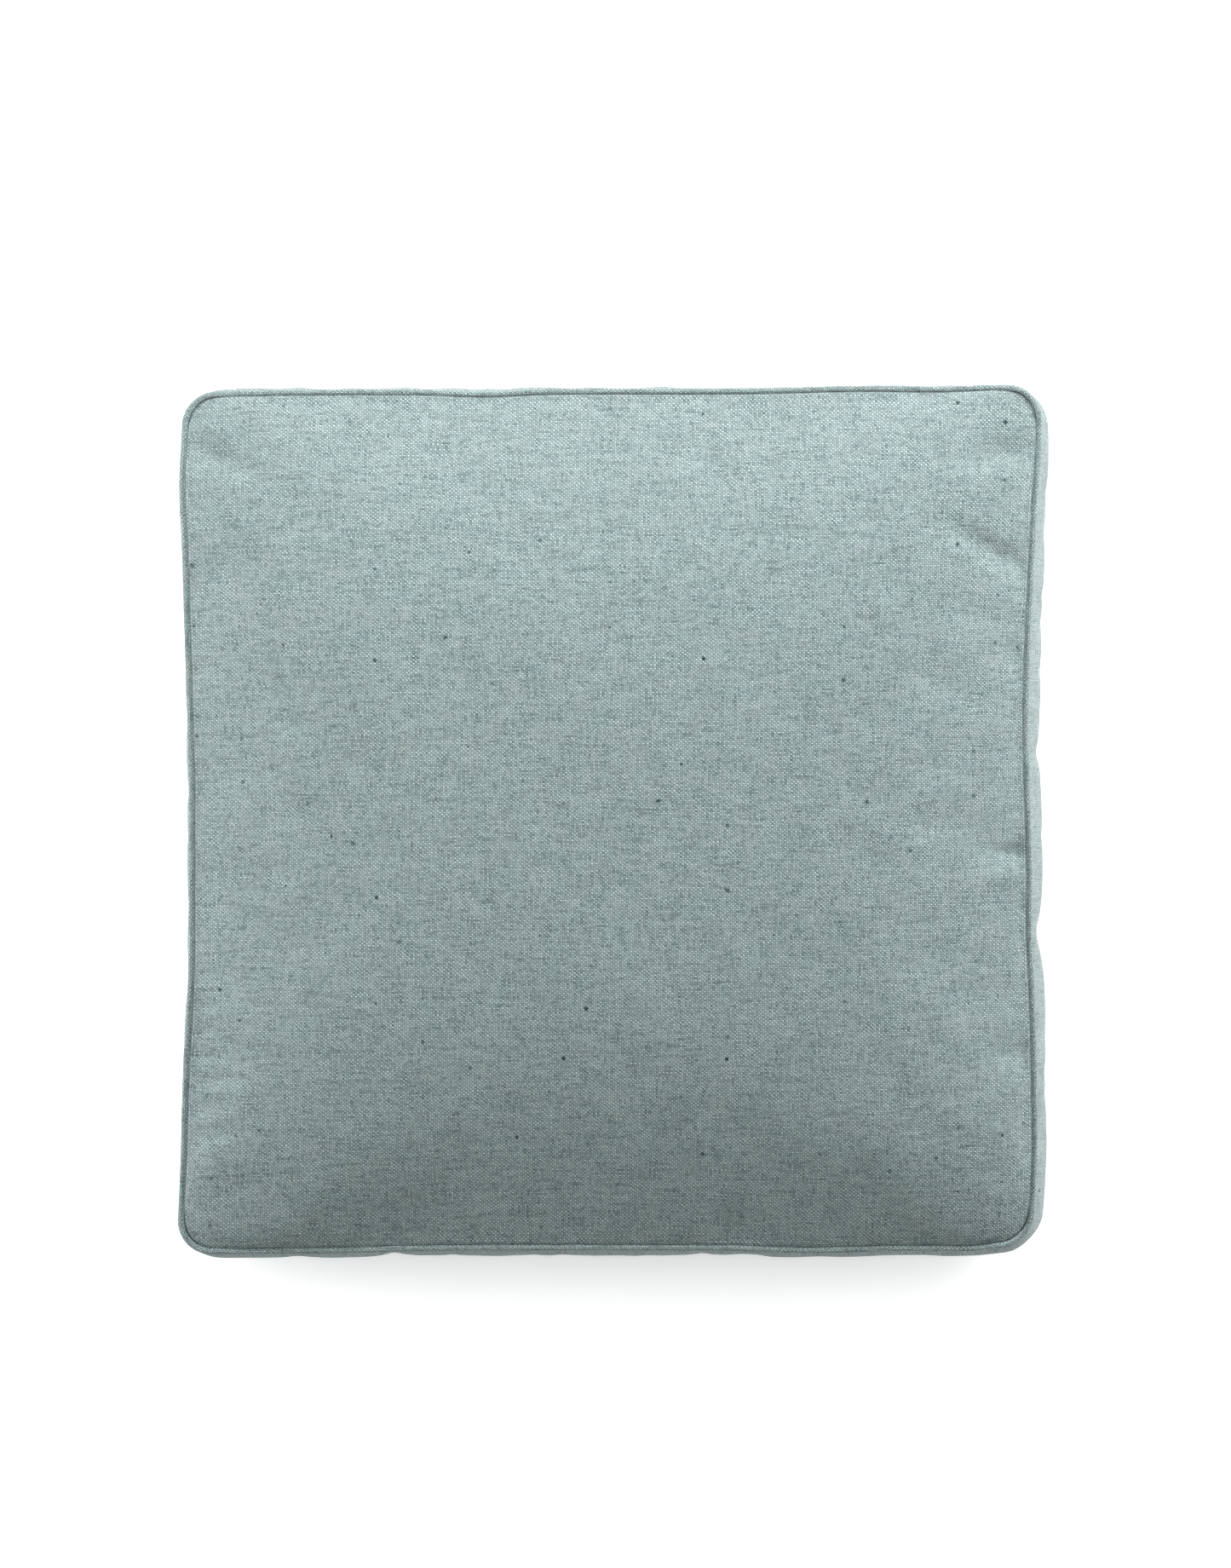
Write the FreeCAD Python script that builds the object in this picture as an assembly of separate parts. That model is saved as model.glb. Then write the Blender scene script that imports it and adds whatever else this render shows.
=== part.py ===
"""Square box floor cushion: a zipped outer cover with piped seams over a foam and wadding pad.

Frame: millimetres, +Z up, origin on the floor under the middle of the cushion, +Y towards the zip
side, +X along the zip, towards its closed end. The cushion lies flat, as it is used.
"""

import FreeCAD
import Part

import math
import os

Vec = FreeCAD.Vector

# ---- driving dimensions -------------------------------------------------------------------------

SEAM_HALF = 295.0  # from the middle to the line where a panel meets the side band
SEAM_CORNER = 22.0  # corner radius of that line
LOWER_SEAM_Z = 20.0  # the filling keeps the lower seam this far off the floor
UPPER_SEAM_Z = 108.0
TOP_Z = 150.0
BAND_BULGE = 8.0  # how far the filling pushes the side band out past the seams
CROWN_TOP_HALF = 50.0  # half the width of the level middle of the top
REST_HALF = 215.0  # half the width of the flat that rests on the floor

FABRIC = 1.2  # woven cover fabric
TICKING = 0.6  # cotton casing of the pad
PAD_INSET = FABRIC + 0.4  # outside of the cover to outside of the pad
FILL_INSET = PAD_INSET + TICKING + 0.3  # outside of the cover to the wadding
FOAM_HALF = 262.0
FOAM_THICKNESS = 78.0
FOAM_CORNER = 24.0
LAYER_GAP = 0.3  # between two layers of filling

PIPING_RADIUS = 2.1  # over the fabric that wraps the cord
PIPING_CORD_RADIUS = 1.2
PIPING_CORD_GAP = 0.05

ZIP_PANEL_HALF = 262.0  # half the length of the two back strips that hold the zip
ZIP_TAPE_Y = SEAM_HALF + 1.5  # middle of the zip's tape, in a valley between the strips
ZIP_OPENING = 12.0  # between the folded edges of the two strips
ZIP_TAPE_WIDTH = 14.5
ZIP_TAPE_THICKNESS = 0.6
ZIP_TAPE_GAP = 1.0  # between the two tapes, where the slider's web runs
ZIP_CHAIN_HALF = 236.0  # the strips run on past the zip, so the pull can lie flat either way
COIL_WIDTH = 2.5
COIL_HEIGHT = 1.7
STOP_LENGTH = 2.5
STOP_PROUD = 0.3  # how far a stop stands out past the coils

SLIDER_LENGTH = 13.0
SLIDER_END_GAP = 0.2  # between the slider and the stops when the zip is closed
SLIDER_HALF_WIDTH = 4.5
SLIDER_TAIL_HALF_WIDTH = 3.9
SLIDER_PLATE = 1.0
SLIDER_CLEAR = 0.3  # between the slider and what runs through it
SLIDER_ROOF = ZIP_TAPE_THICKNESS / 2 + COIL_HEIGHT + SLIDER_CLEAR  # underside of its outer plate
SLIDER_TOP = SLIDER_ROOF + SLIDER_PLATE
PULL_LENGTH = 25.0
PULL_WIDTH = 7.0
PULL_THICKNESS = 1.2
PULL_BAR_RADIUS = 0.6
BRIDGE_HALF_LENGTH = 4.0
BRIDGE_WIDTH = 1.8
BRIDGE_BAR = 0.8
BRIDGE_ROOM = 2 * PULL_BAR_RADIUS + 0.5  # the height under the bridge

STITCH_PITCH = 4.0
STITCH_LENGTH = 3.1
STITCH_WIDTH = 0.6
STITCH_HEIGHT = 0.35

MIDDLE_Z = (LOWER_SEAM_Z + UPPER_SEAM_Z) / 2
BAND_HALF_HEIGHT = (UPPER_SEAM_Z - LOWER_SEAM_Z) / 2
PAD_BACK_Y = ZIP_TAPE_Y - 2.4  # the pad's back is pressed flat behind the zip
REACH = 1000.0  # a box this large takes in the whole cushion


# ---- shapes -------------------------------------------------------------------------------------


def box(x0, x1, y0, y1, z0, z1):
    return Part.makeBox(x1 - x0, y1 - y0, z1 - z0, Vec(x0, y0, z0))


def slab(z0, z1):
    return box(-REACH, REACH, -REACH, REACH, z0, z1)


def rounded_square(half, radius, z):
    """A level square wire with round corners, always starting at the same corner."""
    straight = half - radius
    lean = radius * math.sqrt(0.5)
    edges = []
    for turn in range(4):
        angle = math.radians(90 * turn)
        side = Vec(math.cos(angle), math.sin(angle), 0)
        along = Vec(-math.sin(angle), math.cos(angle), 0)
        level = Vec(0, 0, z)
        start = side * half - along * straight + level
        end = side * half + along * straight + level
        corner = side * straight + along * straight + level
        middle = corner + (side + along) * lean
        turned = side * straight + along * half + level
        edges.append(Part.LineSegment(start, end).toShape())
        edges.append(Part.Arc(end, middle, turned).toShape())
    return Part.Wire(edges)


def loft(sections):
    return Part.makeLoft([rounded_square(*s) for s in sections], True, False)


def crown_section(share, inset):
    """A section of the domed top: share runs from 0 at the seam to 1 at the level middle."""
    run = SEAM_HALF - CROWN_TOP_HALF
    rise = TOP_Z - UPPER_SEAM_Z
    half = SEAM_HALF - run * share
    slope = 3 * rise / run * (1 - share) ** 2
    normal = Vec(slope, 0, 1).normalize()
    radius = half * (SEAM_CORNER / SEAM_HALF + 0.65 * share**0.8)
    z = UPPER_SEAM_Z + rise * (1 - (1 - share) ** 3)
    return half - inset * max(normal.x, 1 - share), radius - inset / 2, z - inset * normal.z


def base_section(share, inset):
    """A section of the underside: share runs from 0 at the flat to 1 at the lower seam."""
    half = REST_HALF + (SEAM_HALF - REST_HALF) * share
    radius = 80.0 + (SEAM_CORNER - 80.0) * share
    z = LOWER_SEAM_Z * share**2.2
    return half - inset * share, radius - inset / 2, z + inset


def band_section(share, inset):
    """A section of the side: share runs from -1 at the lower seam to 1 at the upper one."""
    out = BAND_BULGE * (1 - share**2)
    half = SEAM_HALF + out - inset
    lower = base_section(1, inset)[2]
    upper = crown_section(0, inset)[2]
    z = lower + (upper - lower) * (share + 1) / 2
    return half, SEAM_CORNER + out - inset / 2, z


def cushion(inset):
    """The whole cushion as one solid, inset from its outer skin."""
    base = loft([base_section(s, inset) for s in (0, 0.3, 0.6, 0.82, 1)])
    side = loft([band_section(s, inset) for s in (-1, -0.55, 0, 0.55, 1)])
    crown = loft([crown_section(s, inset) for s in (0, 0.05, 0.14, 0.28, 0.46, 0.7, 1)])
    return base.fuse([side, crown]).removeSplitter()


def pad(inset):
    """The cushion inset to a layer of the pad, whose back is flat behind the zip."""
    back = PAD_BACK_Y - (inset - PAD_INSET)
    return cushion(inset).common(box(-REACH, REACH, -REACH, back, -REACH, REACH))


# ---- outer cover --------------------------------------------------------------------------------


def cover_panels():
    """The top and bottom panels and the one long strip round the left, front and right sides."""
    skin = cushion(0).cut(cushion(FABRIC))
    zip_space = box(-ZIP_PANEL_HALF, ZIP_PANEL_HALF, 0, REACH, -REACH, REACH)
    band = skin.common(slab(LOWER_SEAM_Z, UPPER_SEAM_Z)).cut(zip_space)
    return {
        "top_panel": skin.common(slab(UPPER_SEAM_Z, REACH)),
        "bottom_panel": skin.common(slab(-REACH, LOWER_SEAM_Z)),
        "side_band": band,
    }


def back_strip(up):
    """One of the two back strips: a bulging length of fabric with a folded edge along the zip."""
    seam_z = MIDDLE_Z + up * BAND_HALF_HEIGHT
    fold_z = MIDDLE_Z + up * ZIP_OPENING / 2
    hem_z = fold_z + up * 8.0
    flat_z = fold_z + up * 6.0
    bulge_z = MIDDLE_Z + up * BAND_HALF_HEIGHT * 0.62
    outside = ZIP_TAPE_Y + ZIP_TAPE_THICKNESS / 2 + 2 * FABRIC
    middle_layer = outside - FABRIC
    inside = outside - 2 * FABRIC
    seam = Vec(0, SEAM_HALF, seam_z)
    bulge = Vec(0, SEAM_HALF + BAND_BULGE, bulge_z)
    flat = Vec(0, outside, flat_z)
    inner_seam = seam - Vec(0, FABRIC, 0)
    inner_bulge = bulge - Vec(0, FABRIC, 0)
    corners = [
        Vec(0, outside, fold_z),
        Vec(0, inside, fold_z),
        Vec(0, inside, hem_z),
        Vec(0, middle_layer, hem_z),
    ]
    edges = [Part.Arc(seam, bulge, flat).toShape()]
    path = [flat] + corners
    edges += [Part.LineSegment(a, b).toShape() for a, b in zip(path, path[1:])]
    edges.append(Part.Arc(corners[-1], inner_bulge, inner_seam).toShape())
    edges.append(Part.LineSegment(inner_seam, seam).toShape())
    face = Part.Face(Part.Wire(edges))
    face.translate(Vec(-ZIP_PANEL_HALF, 0, 0))
    return face.extrude(Vec(2 * ZIP_PANEL_HALF, 0, 0))


def piping(seam_z, up, strip):
    """A piped seam: the fabric wrap, notched to sit on the seam, and the cord inside it."""
    lean = Vec(0.75, 0, 0.66 * up).normalize() * (PIPING_RADIUS * 0.8)
    half = SEAM_HALF + lean.x
    radius = SEAM_CORNER + lean.x
    z = seam_z + lean.z
    route = rounded_square(half, radius, z)
    start = Vec(half, radius - half, z)

    def tube(tube_radius):
        ring = Part.Wire(Part.Circle(start, Vec(0, 1, 0), tube_radius).toShape())
        return route.makePipeShell([ring], True, False)

    wrap = tube(PIPING_RADIUS).cut(tube(PIPING_CORD_RADIUS + PIPING_CORD_GAP))
    return wrap.cut(cushion(0)).cut(strip), tube(PIPING_CORD_RADIUS)


# ---- zip ----------------------------------------------------------------------------------------
# The zip's own axes: X along the chain, Z across it and Y out from the middle of the tape.


def zip_box(x0, x1, across0, across1, out0, out1):
    return box(
        x0, x1, ZIP_TAPE_Y + out0, ZIP_TAPE_Y + out1, MIDDLE_Z + across0, MIDDLE_Z + across1
    )


def zip_box_on(side, x0, x1, across0, across1, out0, out1):
    """A zip_box on the upper tape for side 1, or mirrored to the lower one for side -1."""
    low, high = sorted((side * across0, side * across1))
    return zip_box(x0, x1, low, high, out0, out1)


def edges_at(shape, out):
    """The edges that lie at one distance out from the middle of the tape."""
    return [edge for edge in shape.Edges if abs(edge.CenterOfMass.y - ZIP_TAPE_Y - out) < 0.01]


def zip_tape(side):
    half = ZIP_TAPE_THICKNESS / 2
    inner = ZIP_TAPE_GAP / 2
    return zip_box_on(
        side, -ZIP_PANEL_HALF, ZIP_PANEL_HALF, inner, inner + ZIP_TAPE_WIDTH, -half, half
    )


def zip_coil(side):
    low = ZIP_TAPE_THICKNESS / 2
    high = low + COIL_HEIGHT
    inner = ZIP_TAPE_GAP / 2
    bar = zip_box_on(side, -ZIP_CHAIN_HALF, ZIP_CHAIN_HALF, inner, inner + COIL_WIDTH, low, high)
    return bar.makeFillet(COIL_HEIGHT * 0.4, edges_at(bar, high))


def zip_stops(x0, joined):
    """The crimped stops past one end of the coils: one for each row, or one across both."""
    low = ZIP_TAPE_THICKNESS / 2
    high = low + COIL_HEIGHT + STOP_PROUD
    inner = ZIP_TAPE_GAP / 2
    reach = inner + COIL_WIDTH
    spans = [(-reach, reach)] if joined else [(-reach, -inner), (inner, reach)]
    solids = []
    for across0, across1 in spans:
        stop = zip_box(x0, x0 + STOP_LENGTH, across0, across1, low, high)
        solids.append(stop.makeFillet(0.4, edges_at(stop, high)))
    return Part.makeCompound(solids)


def slider_outline(x_tail):
    """The slider seen from outside: a round nose at the front and a narrower, square tail."""
    x_nose = x_tail + SLIDER_LENGTH
    x_shoulder = x_nose - SLIDER_HALF_WIDTH
    tail = [Vec(x_tail, 0, side * SLIDER_TAIL_HALF_WIDTH) for side in (-1, 1)]
    shoulder = [Vec(x_shoulder, 0, side * SLIDER_HALF_WIDTH) for side in (-1, 1)]
    edges = [
        Part.LineSegment(tail[0], shoulder[0]).toShape(),
        Part.Arc(shoulder[0], Vec(x_nose, 0, 0), shoulder[1]).toShape(),
        Part.LineSegment(shoulder[1], tail[1]).toShape(),
        Part.LineSegment(tail[1], tail[0]).toShape(),
    ]
    face = Part.Face(Part.Wire(edges))
    face.translate(Vec(0, ZIP_TAPE_Y, MIDDLE_Z))
    return face


def slider(x_middle):
    """Two plates joined by a thin web, with walls beside the coils and a bridge for the pull."""
    x_tail = x_middle - SLIDER_LENGTH / 2
    x_nose = x_middle + SLIDER_LENGTH / 2
    outline = slider_outline(x_tail)
    under_coils = ZIP_TAPE_THICKNESS / 2 + SLIDER_CLEAR
    beside_coils = ZIP_TAPE_GAP / 2 + COIL_WIDTH + SLIDER_CLEAR

    def plate(out0, out1):
        face = outline.copy()
        face.translate(Vec(0, out0, 0))
        return face.extrude(Vec(0, out1 - out0, 0))

    outer = plate(SLIDER_ROOF, SLIDER_TOP)
    outer = outer.makeFillet(0.35, edges_at(outer, SLIDER_TOP))
    inner = plate(-under_coils - SLIDER_PLATE, -under_coils)
    channel = zip_box(x_tail, x_nose, -beside_coils, beside_coils, 0, SLIDER_TOP)
    walls = plate(under_coils, SLIDER_ROOF).cut(channel)
    web_half = ZIP_TAPE_GAP / 2 - SLIDER_CLEAR
    web = zip_box(x_nose - 5.0, x_nose - 1.0, -web_half, web_half, -under_coils, SLIDER_ROOF)

    legs = BRIDGE_HALF_LENGTH
    room = SLIDER_TOP + BRIDGE_ROOM
    crest = room + BRIDGE_BAR
    bridge = zip_box(
        x_middle - legs, x_middle + legs, -BRIDGE_WIDTH / 2, BRIDGE_WIDTH / 2, SLIDER_TOP, crest
    )
    bridge = bridge.makeFillet(0.6, edges_at(bridge, crest))
    legs -= BRIDGE_BAR
    bridge = bridge.cut(
        zip_box(x_middle - legs, x_middle + legs, -BRIDGE_WIDTH, BRIDGE_WIDTH, SLIDER_TOP, room)
    )
    return outer.fuse([inner, walls, web, bridge]).removeSplitter()


def pull_tab(x_middle):
    """The pull, lying back over the closed chain: a bar under the bridge, two arms and a tab."""
    bar_out = SLIDER_TOP + PULL_BAR_RADIUS + 0.2
    half = PULL_WIDTH / 2
    low = bar_out - PULL_THICKNESS / 2
    high = bar_out + PULL_THICKNESS / 2
    bar_start = Vec(x_middle, ZIP_TAPE_Y + bar_out, MIDDLE_Z - half)
    bar = Part.makeCylinder(PULL_BAR_RADIUS, PULL_WIDTH, bar_start, Vec(0, 0, 1))
    x_end = x_middle - PULL_LENGTH
    tab = zip_box(x_end, x_middle, -half, half, low, high)
    outward = [edge for edge in tab.Edges if abs(edge.tangentAt(edge.FirstParameter).y) > 0.9]
    free_corners = [edge for edge in outward if edge.CenterOfMass.x < x_end + 0.01]
    tab = tab.makeFillet(2.6, free_corners)
    window = BRIDGE_WIDTH / 2 + 0.4
    neck = BRIDGE_HALF_LENGTH + 1.2
    tab = tab.cut(zip_box(x_middle - neck, x_middle + 1, -window, window, low, high))
    return tab.fuse(bar).removeSplitter()


def zip_stitches():
    """Two rows of topstitches that hold the strips' folded edges to the zip's tapes."""
    outside = ZIP_TAPE_THICKNESS / 2 + 2 * FABRIC
    across = ZIP_OPENING / 2 + 3.0
    count = int(2 * (ZIP_PANEL_HALF - 6) / STITCH_PITCH)
    first = -(count - 1) * STITCH_PITCH / 2
    solids = []
    for side in (-1, 1):
        for i in range(count):
            x = first + i * STITCH_PITCH
            solids.append(
                zip_box(
                    x - STITCH_LENGTH / 2, x + STITCH_LENGTH / 2,
                    side * across - STITCH_WIDTH / 2, side * across + STITCH_WIDTH / 2,
                    outside, outside + STITCH_HEIGHT,
                )
            )
    return Part.makeCompound(solids)


# ---- pad ----------------------------------------------------------------------------------------


def pad_casing():
    casing = pad(PAD_INSET).cut(pad(PAD_INSET + TICKING))
    return {
        "pad_casing_top": casing.common(slab(UPPER_SEAM_Z - 4, REACH)),
        "pad_casing_band": casing.common(slab(LOWER_SEAM_Z + 4, UPPER_SEAM_Z - 4)),
        "pad_casing_bottom": casing.common(slab(-REACH, LOWER_SEAM_Z + 4)),
    }


def filling():
    """A foam slab with wadding above it, below it and in four mitred strips round it."""
    fill = pad(FILL_INSET)
    foam_low = MIDDLE_Z - FOAM_THICKNESS / 2
    foam_high = MIDDLE_Z + FOAM_THICKNESS / 2
    foam = Part.Face(rounded_square(FOAM_HALF, FOAM_CORNER, foam_low)).extrude(
        Vec(0, 0, FOAM_THICKNESS)
    )
    hole_half = FOAM_HALF + LAYER_GAP
    hole = Part.Face(rounded_square(hole_half, FOAM_CORNER, -REACH)).extrude(Vec(0, 0, 2 * REACH))
    ring = fill.common(slab(foam_low, foam_high)).cut(hole)
    nodes = {
        "foam_core": foam,
        "wadding_top": fill.common(slab(foam_high + LAYER_GAP, REACH)),
        "wadding_bottom": fill.common(slab(-REACH, foam_low - LAYER_GAP)),
    }
    far = SEAM_HALF + BAND_BULGE + 10
    for turn, name in enumerate(("right", "back", "left", "front")):
        angle = math.radians(90 * turn)
        side = Vec(math.cos(angle), math.sin(angle), 0)
        along = Vec(-math.sin(angle), math.cos(angle), 0)
        shift = side * LAYER_GAP
        tip = shift + Vec(0, 0, foam_low)
        points = [tip, tip + (side - along) * far, tip + (side + along) * far]
        wedge = Part.Face(Part.makePolygon(points + points[:1])).extrude(Vec(0, 0, FOAM_THICKNESS))
        nodes["wadding_" + name] = ring.common(wedge)
    return nodes


# ---- assembly -----------------------------------------------------------------------------------


def build():
    nodes = cover_panels()
    nodes["back_strip_upper"] = back_strip(1)
    nodes["back_strip_lower"] = back_strip(-1)
    nodes["piping_top"], nodes["piping_top_cord"] = piping(
        UPPER_SEAM_Z, 1, nodes["back_strip_upper"]
    )
    nodes["piping_bottom"], nodes["piping_bottom_cord"] = piping(
        LOWER_SEAM_Z, -1, nodes["back_strip_lower"]
    )
    nodes["zip_tape_upper"] = zip_tape(1)
    nodes["zip_tape_lower"] = zip_tape(-1)
    nodes["zip_coil_upper"] = zip_coil(1)
    nodes["zip_coil_lower"] = zip_coil(-1)
    nodes["zip_stops_closed_end"] = zip_stops(ZIP_CHAIN_HALF, False)
    nodes["zip_stop_open_end"] = zip_stops(-ZIP_CHAIN_HALF - STOP_LENGTH, True)
    x_closed = ZIP_CHAIN_HALF - SLIDER_END_GAP - SLIDER_LENGTH / 2
    nodes["zip_slider"] = slider(x_closed)
    nodes["zip_pull"] = pull_tab(x_closed)
    nodes["zip_stitching"] = zip_stitches()
    nodes.update(pad_casing())
    nodes.update(filling())
    return nodes


os.makedirs("parts", exist_ok=True)
for name, shape in build().items():
    solids = shape.Solids
    volume = sum(s.Volume for s in solids)
    print(f"{name}: {len(solids)} solids, {volume / 1000:.2f} cm3, valid {shape.isValid()}")
    if len(solids) == 1:
        shape = solids[0]
    shape.exportStep(f"parts/{name}.step")
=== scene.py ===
"""The looks of a square box floor cushion: a slubby linen cover with piped seams, puckered and
crowned over a soft pad, with a coil zip along its back edge.

Metres, in the model's own frame: +Z up, +Y towards the side with the zip.
"""

import math

import bpy
import numpy as np
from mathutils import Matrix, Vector, noise


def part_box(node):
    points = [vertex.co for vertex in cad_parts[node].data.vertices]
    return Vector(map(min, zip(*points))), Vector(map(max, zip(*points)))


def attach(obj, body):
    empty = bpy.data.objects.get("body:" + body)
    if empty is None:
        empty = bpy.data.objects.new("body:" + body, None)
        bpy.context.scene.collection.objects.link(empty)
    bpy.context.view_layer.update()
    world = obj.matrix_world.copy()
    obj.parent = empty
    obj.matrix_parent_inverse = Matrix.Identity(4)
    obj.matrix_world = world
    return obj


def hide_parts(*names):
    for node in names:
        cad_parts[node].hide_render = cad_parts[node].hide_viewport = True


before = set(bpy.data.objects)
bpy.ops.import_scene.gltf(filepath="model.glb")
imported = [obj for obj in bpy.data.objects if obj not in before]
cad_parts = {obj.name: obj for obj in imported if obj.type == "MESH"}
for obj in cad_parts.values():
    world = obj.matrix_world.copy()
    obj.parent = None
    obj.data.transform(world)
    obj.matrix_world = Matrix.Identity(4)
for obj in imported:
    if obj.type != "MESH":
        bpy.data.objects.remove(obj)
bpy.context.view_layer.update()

# ---- sizes that the frame gives ------------------------------------------------------------------

seam_low, crown_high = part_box("top_panel")
rest_low, lower_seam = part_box("bottom_panel")
band_low, band_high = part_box("side_band")
strip_low, strip_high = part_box("back_strip_upper")
tape_low, tape_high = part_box("zip_tape_upper")
coil_low, coil_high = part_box("zip_coil_upper")
stitch_low, stitch_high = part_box("zip_stitching")

SEAM = crown_high.x  # from the middle to the line where a panel meets the band
UPPER = seam_low.z  # height of the upper seam
LOWER = lower_seam.z
CROWN = crown_high.z
MIDDLE = (UPPER + LOWER) / 2
ZIP_HALF = strip_high.x  # half the length of the strips that hold the zip
FOLD = strip_low.z - MIDDLE  # from the middle of the zip to a strip's folded edge
TAPE_Y = (tape_low.y + tape_high.y) / 2
CHAIN_HALF = coil_high.x
STITCH_ROW = stitch_high.z - MIDDLE - 0.0003

# ---- sizes of the looks --------------------------------------------------------------------------

CORNER = 0.020  # corner radius of the seam line
BULGE = 0.0065  # how far the filling pushes the side band out past the seams
ROLL = 0.0050  # how far the top rises in its first steep curve out of the seam
ROLL_WIDTH = 0.011
ASKEW = (0.0030, -0.0015)  # the filling has settled this far to the right and to the front
REST_HALF = 0.215  # half the width of the flat that rests on the floor
CLOTH = 0.001
PIPING = 0.0020
PIPING_LEAN = (0.0014, -0.0012)  # from the seam line to the middle of the piping, out and up
CORD = 0.0012
CASING_INSET = 0.0065  # the pad lies this far inside the cover, clear of its puckers
FILL_INSET = 0.0085
WARP_PITCH = 0.00149
WEFT_PITCH = 0.00125

# How the upper seam strays from a straight line between its corners: (centre, width, outward),
# with the centre measured from the middle of that side.
STRAY = {
    "right": [(0.070, 0.130, -0.0080), (-0.150, 0.110, -0.0022), (-0.080, 0.040, -0.0020), (0.262, 0.030, 0.0010)],
    "left": [(0.0, 0.400, 0.0055), (0.0, 0.170, -0.0082), (-0.110, 0.050, -0.0018), (0.232, 0.030, 0.0016)],
    "back": [(0.0, 0.400, 0.0030), (0.180, 0.060, 0.0025), (-0.090, 0.030, -0.0020), (0.268, 0.035, 0.0025)],
    "front": [(0.0, 0.400, 0.0015), (-0.215, 0.070, 0.0025), (0.140, 0.050, 0.0020), (0.262, 0.040, 0.0025)],
}
# How far each corner of the upper seam is pushed out, and over what distance.
CORNER_PUSH = {(1, 1): 0.0015, (-1, 1): -0.0010, (-1, -1): 0.0025, (1, -1): -0.0040}
CORNER_REACH = 0.045


# ---- small tools ---------------------------------------------------------------------------------


def smooth(t):
    t = np.clip(t, 0, 1)
    return t * t * (3 - 2 * t)


def make_object(name, points, faces, uvs=None):
    """A smooth-shaded mesh object. uvs holds one pair for each point, in metres of cloth."""
    mesh = bpy.data.meshes.new(name)
    mesh.from_pydata(np.asarray(points, float).tolist(), [], faces)
    if uvs is not None:
        layer = mesh.uv_layers.new(name="cloth")
        corners = np.zeros(len(mesh.loops), np.int32)
        mesh.loops.foreach_get("vertex_index", corners)
        layer.data.foreach_set("uv", np.asarray(uvs, np.float32)[corners].ravel())
    mesh.polygons.foreach_set("use_smooth", [True] * len(mesh.polygons))
    obj = bpy.data.objects.new(name, mesh)
    bpy.context.scene.collection.objects.link(obj)
    return obj


def grid_faces(rows, columns, closed=False):
    """Quads between the points of a grid held row by row. closed joins each row's ends."""
    faces = []
    across = columns if closed else columns - 1
    for r in range(rows - 1):
        for c in range(across):
            n = (c + 1) % columns
            faces.append((r * columns + c, r * columns + n, (r + 1) * columns + n, (r + 1) * columns + c))
    return faces


def thicken(obj, thickness):
    """Gives a skin its thickness, on the side away from its normals."""
    solid = obj.modifiers.new("thickness", "SOLIDIFY")
    solid.thickness = thickness
    solid.offset = -1


def rough_ground(points, scale, seed):
    """Smooth noise from -1 to 1 at each point."""
    shift = Vector((seed * 3.1, seed * 7.7, seed * 1.3))
    return np.array([noise.noise(Vector(p) * scale + shift) for p in points])


def gaussian(t, centre, width):
    return np.exp(-(((t - centre) / width) ** 2))


# ---- the cushion's shape -------------------------------------------------------------------------


def stray(side, t):
    return sum(out * gaussian(t, centre, width) for centre, width, out in STRAY[side])


def settle(points):
    """Moves points of the regular cushion to where its worn, hand-sewn seams have drawn them."""
    x, y, z = points.T.copy()
    up = np.clip((z - LOWER) / (UPPER - LOWER), 0, 1)
    share = 0.35 + 0.65 * up
    at_seams = (2 * up - 1) ** 2  # the zip holds the middle of the back straight
    reach_x = np.clip(np.abs(x) / SEAM, 0, 1) ** 4
    reach_y = np.clip(np.abs(y) / SEAM, 0, 1) ** 4
    dx = reach_x * share * np.where(x > 0, stray("right", y), -stray("left", y))
    dy = reach_y * share * np.where(y > 0, stray("back", x) * at_seams, -stray("front", x))
    for (sx, sy), push in CORNER_PUSH.items():
        away = np.hypot(x - sx * SEAM, y - sy * SEAM)
        near = push * gaussian(away, 0, CORNER_REACH) * share
        dx += near * sx
        dy += near * sy
    return np.stack([x + dx, y + dy, z], axis=1)


def crown_height(ring):
    """Height of the top at a ring: 0 in the middle and 1 at the seam."""
    roll = ROLL * (1 - np.exp(-(1 - ring) * SEAM / ROLL_WIDTH))
    return UPPER + roll + (CROWN - UPPER) * (1 - ring**3.1)


def base_height(ring):
    out = np.clip((ring * SEAM - REST_HALF) / (SEAM - REST_HALF), 0, 1)
    return LOWER * out**2.2


def ring_corner(ring):
    """Corner radius of a panel's level ring: tight at the seam, and nearly a circle in the middle."""
    share = CORNER / SEAM
    return ring * SEAM * (share + (0.95 - share) * (1 - ring) ** 0.6)


def panel_points(height, t):
    """A grid over a square panel at these shares of its half width, from -1 to 1, each way. Its
    rings are laid on squares with round corners. Also gives each point's ring and its flat UVs."""
    a, b = (m.ravel() for m in np.meshgrid(t, t))
    ring = np.maximum(np.abs(a), np.abs(b))
    half = ring * SEAM
    corner = ring_corner(ring)
    straight = half - corner
    over_x = np.maximum(np.abs(a) * SEAM - straight, 0)
    over_y = np.maximum(np.abs(b) * SEAM - straight, 0)
    far = np.hypot(over_x, over_y)
    pull = np.where((over_x > 0) & (over_y > 0), corner / np.maximum(far, 1e-9), 1)
    x = np.sign(a) * (np.minimum(np.abs(a) * SEAM, straight) + over_x * pull)
    y = np.sign(b) * (np.minimum(np.abs(b) * SEAM, straight) + over_y * pull)
    return np.stack([x, y, height(ring)], axis=1), ring, np.stack([x, y], axis=1)


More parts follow.
